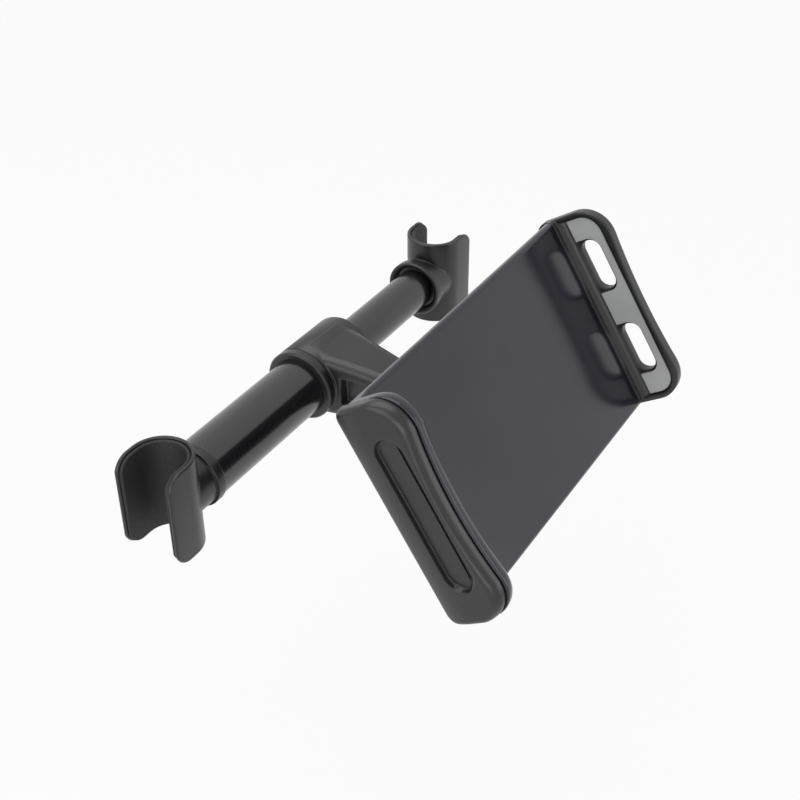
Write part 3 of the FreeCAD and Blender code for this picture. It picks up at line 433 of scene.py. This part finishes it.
def neck_section(reach):
    """Middle, half width and half height of the neck, all even between its two ends."""
    share = (reach - NECK_START) / (NECK_END - NECK_START)
    left = NECK_LEFT + (-NECK_END_SIDE - NECK_LEFT) * share
    right = NECK_RIGHT + (NECK_END_SIDE - NECK_RIGHT) * share
    return (left + right) / 2, (right - left) / 2, NECK_RISE + (NECK_END_RISE - NECK_RISE) * share


def tee_neck():
    """Rounded rectangles from the sleeve's wall out along -Y, with a sunk panel on each side.

    A point at height z starts on the wall, at y0 = sqrt(R^2 - z^2), and at the share t of its
    way it is at y0 + (L - y0) t. The first rows grow over the wall and so close the root.
    """
    grow = np.linspace(0.04, 0.98, 12)
    along = spaced(NECK_STOPS, NECK_COUNTS)
    nose = np.linspace(0, np.pi / 2, 7)[1:]
    share = np.concatenate([0 * grow, along, along[-1] + (1 - along[-1]) * np.sin(nose)])
    scale = np.concatenate([grow, np.ones(along.size + nose.size)])
    pinch = np.concatenate([np.zeros(grow.size + along.size), NECK_END_ROUND * (1 - np.cos(nose))])
    middle, half_wide, half_high = neck_section(NECK_START + (NECK_END - NECK_START) * share)
    loops = rounded_loops(scale * half_wide - pinch, scale * half_high - pinch, scale * NECK_CORNER, 10, 40)
    z = loops[..., 1]
    start = np.sqrt(np.clip(NECK_ROOT**2 - z**2, 0, None))
    reach = start + (NECK_END - start) * share[:, None]
    true_middle, true_half_wide, _ = neck_section(np.maximum(reach, NECK_START))
    x = true_middle + loops[..., 0] * true_half_wide / half_wide[:, None]
    panel = ease(PANEL_START, PANEL_START + PANEL_END_SLOPE, reach)
    panel = panel * (1 - ease(PANEL_END - PANEL_END_SLOPE, PANEL_END, reach))
    panel = panel * (1 - ease(PANEL_HALF_HEIGHT - PANEL_SIDE_SLOPE, PANEL_HALF_HEIGHT, np.abs(z)))
    x = x - np.sign(x) * np.clip(np.abs(x) - NECK_WEB, 0, None) * panel
    rings = np.stack([x, -reach, z], axis=-1)
    return rings, ring_faces(rings)


def along_bar(grid):
    """Move a grid from the tee's own middle to its place on the bar."""
    points, faces = grid
    return points + (TEE_PLACE, 0, 0), faces


make_piece("tee_moulding", [along_bar(tee_sleeve()), along_bar(tee_neck())],
           "tee_body", "base", "black_plastic")

# %% [markdown]
# ## Left jaw's outer skin
# This cover faces the camera. A long finger recess is pressed into it, its edges run out
# softly, and a fine straight groove lies along the recess. All of that is a height over a flat
# outline, so the cover is a grid of heights: the two parameters run up the jaw and across it, and the
# outline's half width at each height keeps the grid's sides on the rounded corners.

# %% The cover as a grid of heights
COVER_TOP = 15.7
COVER_BOTTOM = -8.2
COVER_THICKNESS = 3.9
COVER_UPPER_CORNER = 10.5
COVER_LOWER_CORNER = 4.0
COVER_EDGE = 1.8
COVER_RIM_EDGE = 3.2
RIM_DIP = 2.4
RIM_DIP_SPAN = 24.8
PILL_MIDDLE = 5.9
PILL_RADIUS = 5.4
PILL_STRAIGHT = 19.8
GROOVE_HEIGHT = 8.35
GROOVE_HALF_LENGTH = 23.0
GROOVE_DEPTH = 1.0
GROOVE_HALF_FLOOR, GROOVE_HALF_WIDTH = 0.30, 0.38
RECESS_DEPTH = 1.7
RECESS_WALL, RECESS_SLOPE = 0.4, 3.0
FOOT_CROWN = 1.9
FOOT_CROWN_TOP = 2.0


def cover_half_width(height):
    """Half width of the outline: W - r + sqrt(r^2 - d^2) within each rounded corner."""
    above = np.clip(height - (COVER_TOP - COVER_UPPER_CORNER), 0, COVER_UPPER_CORNER)
    below = np.clip(COVER_BOTTOM + COVER_LOWER_CORNER - height, 0, COVER_LOWER_CORNER)
    upper = COVER_UPPER_CORNER - np.sqrt(COVER_UPPER_CORNER**2 - above**2)
    lower = COVER_LOWER_CORNER - np.sqrt(COVER_LOWER_CORNER**2 - below**2)
    return CLAMP_HALF_WIDTH - upper - lower


def inside_distance(across, height):
    """Distance in from the rounded outline, larger towards the middle."""
    middle = (COVER_TOP + COVER_BOTTOM) / 2
    corner = np.where(height > middle, COVER_UPPER_CORNER, COVER_LOWER_CORNER)
    past_side = np.abs(across) - (CLAMP_HALF_WIDTH - corner)
    past_end = np.abs(height - middle) - ((COVER_TOP - COVER_BOTTOM) / 2 - corner)
    outer = np.hypot(np.clip(past_side, 0, None), np.clip(past_end, 0, None))
    return corner - outer - np.clip(np.maximum(past_side, past_end), None, 0)


def toward_ends(low, high, size, steps):
    """Values that crowd towards both ends: the middle is plain, and each end follows 1 - cos."""
    end = size * (1 - np.cos(np.linspace(0, np.pi / 2, steps)))
    plain = np.linspace(low + size, high - size, 3 * steps)[1:-1]
    return np.concatenate([low + end, plain, high - end[::-1]])


def jaw_cover():
    """Outer face: edge round + crown + recess + groove. The back is flat, and a strip joins both.

    The recess's edge is a steep wall below and a long slope above. The crown at the foot is
    c q^2.4, with q from 0 at its top to 1 at the cover's lower edge.
    """
    recess_lines = PILL_MIDDLE + np.concatenate([np.linspace(-6.0, -4.2, 20), np.linspace(1.6, 6.0, 18)])
    groove_lines = GROOVE_HEIGHT + np.array([-0.40, -0.34, 0.0, 0.34, 0.40])
    plain_lines = toward_ends(COVER_BOTTOM, COVER_TOP, 2.2, 10)
    levels = np.unique(np.concatenate([plain_lines, recess_lines, groove_lines]))
    pill_ends = np.linspace(PILL_STRAIGHT, PILL_STRAIGHT + PILL_RADIUS + 1, 50) / CLAMP_HALF_WIDTH
    plain_shares = np.concatenate([toward_ends(-1, 1, 0.06, 10), np.linspace(-1, 1, 181)])
    shares = np.unique(np.concatenate([plain_shares, pill_ends, -pill_ends]))
    height = np.broadcast_to(levels[:, None], (levels.size, shares.size))
    across = shares[None, :] * cover_half_width(height)
    radius = COVER_EDGE + (COVER_RIM_EDGE - COVER_EDGE) * ease(5, 11, height)
    inset = np.clip(radius - np.clip(inside_distance(across, height), 0, None), 0, None)
    edge = radius - np.sqrt(np.clip(radius**2 - inset**2, 0, None))
    past_straight = np.clip(np.abs(across) - PILL_STRAIGHT, 0, None)
    from_pill = np.hypot(past_straight, height - PILL_MIDDLE) - PILL_RADIUS
    ramp = RECESS_WALL + RECESS_SLOPE * ease(GROOVE_HEIGHT - 2, GROOVE_HEIGHT + 1, height)
    recess = RECESS_DEPTH * (1 - ease(-ramp, 0.2, from_pill))
    in_groove = 1 - ease(GROOVE_HALF_FLOOR, GROOVE_HALF_WIDTH, np.abs(height - GROOVE_HEIGHT))
    in_length = 1 - ease(GROOVE_HALF_LENGTH - 0.3, GROOVE_HALF_LENGTH, np.abs(across))
    groove = GROOVE_DEPTH * in_groove * in_length
    crown_share = np.clip((FOOT_CROWN_TOP - height) / (FOOT_CROWN_TOP - COVER_BOTTOM), 0, None)
    crown = FOOT_CROWN * crown_share**2.4
    dip = RIM_DIP * np.clip(1 - (across / RIM_DIP_SPAN) ** 2, 0, None) * ease(9.5, COVER_TOP, height)
    front = on_clamp(-CLAMP_HALF_LENGTH + edge + crown + recess + groove, across, height - dip)
    back = on_clamp(-CLAMP_HALF_LENGTH + COVER_THICKNESS, across, height - dip)
    return sewn_plate(front, back)


def sewn_plate(front, back):
    """Two grids of the same size, joined round their four sides into one closed plate."""
    rows, columns = front.shape[:2]
    count = rows * columns
    face = grid_faces(rows, columns, wrap=False)
    number = np.arange(count).reshape(rows, columns)
    round_it = np.concatenate([number[0, :-1], number[:-1, -1], number[-1, :0:-1], number[:0:-1, 0]])
    after = np.roll(round_it, -1)
    strip = np.stack([round_it, round_it + count, after + count, after], axis=-1)
    faces = np.concatenate([face, face[:, ::-1] + count, strip])
    return np.concatenate([front.reshape(-1, 3), back.reshape(-1, 3)]), faces.tolist()


make_piece("left_jaw_skin", [jaw_cover()], "left_jaw_cover", "clamp", "black_plastic")

# %% [markdown]
# ## Tray
# The tray's face and the inner wall of the left jaw are one moulding. Its section is the same shape
# all the way across, an L with a rounded lip, so that section is worked out once and carried
# across the tray. On the way the lip follows the jaw's rim, the face rolls over at the two long
# edges, and the wall sinks in where the grip pad lies.

# %% The tray as a section carried across
TRAY_END = 60.0
TRAY_THICKNESS = 2.6
TRAY_EDGE = 1.7
WALL_OUTER = -62.6
WALL_INNER = -58.0
WALL_TOP = 16.7
WALL_CORNER = 10.5
WALL_DIP = 2.4
PAD_SINK = 1.8
PAD_SINK_TOP = 12.5
PAD_SINK_SIDE = 34.5
PAD_SINK_CORNER = 7.0
FOOT_RADIUS = 1.6
LIP_INWARD = 4.0
LIP_DROP = 2.2
WALL_END_ROUND = 2.4
OUTER_LIP = 0.7
SEAM_DEPTH = 0.5
SEAM_LINES = np.array([0.1, 1.2, 1.3])
LIP_MARGIN = 0.05
TRAY_END_ROUND = 0.3
WALL_GRID_TOP = 12.7
TRAY_GRID_SIDE = 34.8


def rim_height(across):
    """Height of the jaw's rim: a dip 1 - (v/s)^2 in the middle and a round at each corner."""
    past = np.clip(np.abs(across) - (CLAMP_HALF_WIDTH - WALL_CORNER), 0, WALL_CORNER)
    dip = WALL_DIP * np.clip(1 - (across / RIM_DIP_SPAN) ** 2, 0, None)
    return WALL_TOP - dip - WALL_CORNER + np.sqrt(np.clip(WALL_CORNER**2 - past**2, 0, None))


def pad_sink(across, height):
    """1 inside the rounded outline the pad lies in, 0 outside it."""
    past_side = np.abs(across) - (PAD_SINK_SIDE - PAD_SINK_CORNER)
    past_top = height - (PAD_SINK_TOP - PAD_SINK_CORNER)
    outside = np.hypot(np.clip(past_side, 0, None), np.clip(past_top, 0, None))
    inside = np.clip(np.maximum(past_side, past_top), None, 0)
    return 1 - ease(-0.15, 0.15, outside - PAD_SINK_CORNER + inside)


def tray_and_wall():
    """Sections from the tray's end along its face, up the wall, over the lip and down behind."""
    edge_lines = toward_ends(-CLAMP_HALF_WIDTH, CLAMP_HALF_WIDTH, TRAY_EDGE, 14)
    even_lines = np.linspace(-TRAY_GRID_SIDE, TRAY_GRID_SIDE, 233)
    across = np.unique(np.concatenate([edge_lines, even_lines]))[:, None]
    top = rim_height(across)
    past_edge = np.clip(np.abs(across) - (CLAMP_HALF_WIDTH - TRAY_EDGE), 0, TRAY_EDGE)
    face = np.sqrt(TRAY_EDGE**2 - past_edge**2) - TRAY_EDGE
    nose = np.linspace(0, np.pi / 2, 5)
    end_along = TRAY_END - TRAY_END_ROUND + TRAY_END_ROUND * np.cos(nose)
    end_out = face - TRAY_END_ROUND + TRAY_END_ROUND * np.sin(nose)
    levels = spaced((0, FOOT_RADIUS, WALL_GRID_TOP), (8, 36))
    wall_out = np.maximum(face, levels * np.minimum(1, (top - LIP_DROP) / levels[-1]))
    sink = pad_sink(across, wall_out)
    below_foot = np.clip(FOOT_RADIUS - wall_out, 0, FOOT_RADIUS)
    foot = FOOT_RADIUS - np.sqrt(FOOT_RADIUS**2 - below_foot**2)
    past_end = np.clip(np.abs(across) - (CLAMP_HALF_WIDTH - WALL_END_ROUND), 0, WALL_END_ROUND)
    wall_face = WALL_INNER - WALL_END_ROUND + np.sqrt(WALL_END_ROUND**2 - past_end**2)
    wall_along = wall_face + sink * (foot - PAD_SINK)
    flat_along = np.linspace(TRAY_END - TRAY_END_ROUND, WALL_INNER + 0.2, 40)[1:-1]
    lip = np.linspace(0, np.pi / 2, 8)
    inward = np.minimum(LIP_INWARD, wall_face - WALL_OUTER - OUTER_LIP - LIP_MARGIN)
    inner_along = wall_face - inward * (1 - np.cos(lip))
    inner_out = top - LIP_DROP * (1 - np.sin(lip))
    outer_along = WALL_OUTER + OUTER_LIP * (1 - np.sin(lip))
    outer_out = top - OUTER_LIP * (1 - np.cos(lip))
    seam_along = WALL_OUTER + SEAM_DEPTH * np.array([1, 1, 0])
    seam_out = top - OUTER_LIP - SEAM_LINES
    behind = np.linspace(0, 1, 7)[1:]
    back_out = (top - OUTER_LIP - SEAM_LINES[-1]) * (1 - behind) - TRAY_THICKNESS * behind
    below = np.linspace(WALL_OUTER, TRAY_END, 14)[1:]
    parts = [(end_along, end_out), (flat_along, face), (wall_along, wall_out),
             (inner_along[:, 1:], inner_out[:, 1:]), (outer_along, outer_out), (seam_along, seam_out),
             (WALL_OUTER + 0 * behind, back_out), (below, -TRAY_THICKNESS)]
    parts = [np.broadcast_arrays(along, out, across)[:2] for along, out in parts]
    along, out = (np.concatenate(columns, axis=1) for columns in zip(*parts))
    rings = on_clamp(along, across, out)
    return rings, ring_faces(rings)


make_piece("tray_moulding", [tray_and_wall()], "front_tray", "clamp", "tray_plastic")

# %% [markdown]
# ## Springs
# Two springs lie in the case and pull the sliding jaw home. When the jaw is drawn out they show
# between its legs. Each is a tube along a helix.

# %% The springs as tubes along a helix
SPRING_START, SPRING_END = -52.2, 61.3
SPRING_SIDE = 7.0
SPRING_DEPTH = 4.5
SPRING_RADIUS = 1.1
SPRING_WIRE = 0.4
SPRING_PITCH = 5.0


def coil(side):
    """Rings of a wire along the helix (p t / 2 pi, R cos t, R sin t).

    With the helix's direction d and the unit vector r out from its axis, a ring is
    w (r cos a + (d x r) sin a) about each point of the helix.
    """
    turns = (SPRING_END - SPRING_START) / SPRING_PITCH
    turn = np.linspace(0, 2 * np.pi * turns, 560)
    outward = np.stack([0 * turn, np.cos(turn), np.sin(turn)], axis=-1)
    rise = SPRING_PITCH / (2 * np.pi)
    onward = np.stack([0 * turn, -np.sin(turn), np.cos(turn)], axis=-1)
    ahead = (np.array([rise, 0, 0]) + SPRING_RADIUS * onward) / np.hypot(rise, SPRING_RADIUS)
    beside = np.cross(ahead, outward)
    around = np.linspace(0, 2 * np.pi, 10, endpoint=False)[None, :, None]
    ring = SPRING_WIRE * (outward[:, None] * np.cos(around) + beside[:, None] * np.sin(around))
    points = SPRING_RADIUS * outward[:, None] + ring
    along = SPRING_START + rise * turn[:, None] + points[..., 0]
    rings = on_clamp(along, side * SPRING_SIDE + points[..., 1], points[..., 2] - SPRING_DEPTH)
    return rings, ring_faces(rings)


springs = make_piece("pull_springs", [coil(-1), coil(1)], "jaw_springs", None, "steel")
spring_ends = [tuple(on_clamp(along, 0.0, -SPRING_DEPTH) * MM) for along in (SPRING_START, SPRING_END)]
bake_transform(springs)

# %% [markdown]
# ## Floor and light
# The photo has a white, shadowless ground. The floor lies well below the holder, which hangs
# on posts in use. To the camera it is almost white, and the rest of its colour is real, so a
# faint shadow stays. Soft lamps stand for the white tent of a product studio.

# %% Floor, world and lamps
def white_when_seen(tree, plain, share):
    """Mix a plain shader with white light for the rays that come from the eye or a mirrored surface."""
    link = tree.links.new
    rays = tree.nodes.new("ShaderNodeLightPath")
    seen = rays.outputs["Is Camera Ray"]
    for kind in ("Is Glossy Ray", "Is Transmission Ray"):
        either = tree.nodes.new("ShaderNodeMath")
        either.operation = "MAXIMUM"
        link(seen, either.inputs[0])
        link(rays.outputs[kind], either.inputs[1])
        seen = either.outputs["Value"]
    part = tree.nodes.new("ShaderNodeMath")
    part.operation = "MULTIPLY"
    part.inputs[1].default_value = share
    link(seen, part.inputs[0])
    white = new_node(tree, "Emission" if share < 1 else "Background", Color=(1, 1, 1, 1), Strength=1.0)
    mixed = tree.nodes.new("ShaderNodeMixShader")
    link(part.outputs["Value"], mixed.inputs["Fac"])
    link(plain.outputs[0], mixed.inputs[1])
    link(white.outputs[0], mixed.inputs[2])
    return mixed


FLOOR_LEVEL = -0.12
FLOOR_WHITE = 0.92
PAPER_TONE = 0.86
STUDIO_STRENGTH = 0.30
floor_mesh = bpy.data.meshes.new("floor")
FLOOR_REACH = 20.0
corners = [(x * FLOOR_REACH, y * FLOOR_REACH, FLOOR_LEVEL)
           for x, y in ((-1, -1), (1, -1), (1, 1), (-1, 1))]
floor_mesh.from_pydata(corners, [], [(0, 1, 2, 3)])
floor = bpy.data.objects.new("floor", floor_mesh)
bpy.context.scene.collection.objects.link(floor)
paper = bpy.data.materials.new("white_paper")
paper.use_nodes = True
paper_shader = paper.node_tree.nodes["Principled BSDF"]
paper_shader.inputs["Base Color"].default_value = (PAPER_TONE, PAPER_TONE, PAPER_TONE, 1)
paper_shader.inputs["Roughness"].default_value = 0.9
paper_end = paper.node_tree.nodes["Material Output"]
paper_mixed = white_when_seen(paper.node_tree, paper_shader, FLOOR_WHITE)
paper.node_tree.links.new(paper_mixed.outputs["Shader"], paper_end.inputs["Surface"])
floor_mesh.materials.append(paper)

studio = bpy.data.worlds.new("studio")
bpy.context.scene.world = studio
studio.use_nodes = True
studio_light = studio.node_tree.nodes["Background"]
studio_light.inputs["Color"].default_value = (1.0, 1.0, 1.0, 1)
studio_light.inputs["Strength"].default_value = STUDIO_STRENGTH
studio_mixed = white_when_seen(studio.node_tree, studio_light, 1.0)
studio_end = studio.node_tree.nodes["World Output"]
studio.node_tree.links.new(studio_mixed.outputs["Shader"], studio_end.inputs["Surface"])


def soft_lamp(name, place, aim, width, watts):
    """A square area lamp that faces a point and stays out of the picture itself."""
    lamp = bpy.data.lights.new(name, "AREA")
    lamp.size = width
    lamp.energy = watts
    thing = bpy.data.objects.new(name, lamp)
    thing.visible_camera = False
    bpy.context.scene.collection.objects.link(thing)
    back = np.array(place) - np.array(aim)
    back = back / np.linalg.norm(back)
    side = np.cross((0, 0, 1), back)
    side = side / np.linalg.norm(side)
    up = np.cross(back, side)
    turn = Matrix(np.stack([side, up, back], axis=1).tolist()).to_4x4()
    turn.translation = place
    thing.matrix_world = turn
    return thing


middle = (0.08, -0.04, 0.0)
soft_lamp("overhead", (0.05, 0.25, 0.95), middle, 0.9, 5.0)
soft_lamp("left_tent", (-0.9, 0.35, 0.45), middle, 0.7, 2.5)
soft_lamp("front_tent", (0.35, -0.95, 0.20), middle, 0.7, 2.5)
soft_lamp("low_left_tent", (-0.75, -0.30, 0.0), middle, 0.5, 2.0)

# %% [markdown]
# ## Camera
# The camera's place and lens were fitted to the tubes and the clamp's corners in the photo.
# Yaw turns it from +Y towards +X, pitch tips it down, and a small roll levels the picture.

# %% The photo's camera
CAMERA_PLACE = (-0.21899, -0.21514, 0.24459)
CAMERA_YAW = math.radians(58.6566)
CAMERA_PITCH = math.radians(34.9597)
CAMERA_ROLL = math.radians(0.4666)
SENSOR_WIDTH = 36.0
FOCAL_LENGTH = 58.4

ahead = np.array([math.cos(CAMERA_PITCH) * math.sin(CAMERA_YAW),
                  math.cos(CAMERA_PITCH) * math.cos(CAMERA_YAW), -math.sin(CAMERA_PITCH)])
level = np.array([math.cos(CAMERA_YAW), -math.sin(CAMERA_YAW), 0.0])
below = np.cross(ahead, level)
right = math.cos(CAMERA_ROLL) * level + math.sin(CAMERA_ROLL) * below
down = -math.sin(CAMERA_ROLL) * level + math.cos(CAMERA_ROLL) * below
lens = bpy.data.cameras.new("photo_camera")
lens.sensor_width = SENSOR_WIDTH
lens.lens = FOCAL_LENGTH
camera = bpy.data.objects.new("photo_camera", lens)
bpy.context.scene.collection.objects.link(camera)
stand = Matrix(np.stack([right, -down, -ahead], axis=1).tolist()).to_4x4()
stand.translation = CAMERA_PLACE
camera.matrix_world = stand
bpy.context.scene.camera = camera
bpy.context.scene.view_settings.view_transform = "Standard"
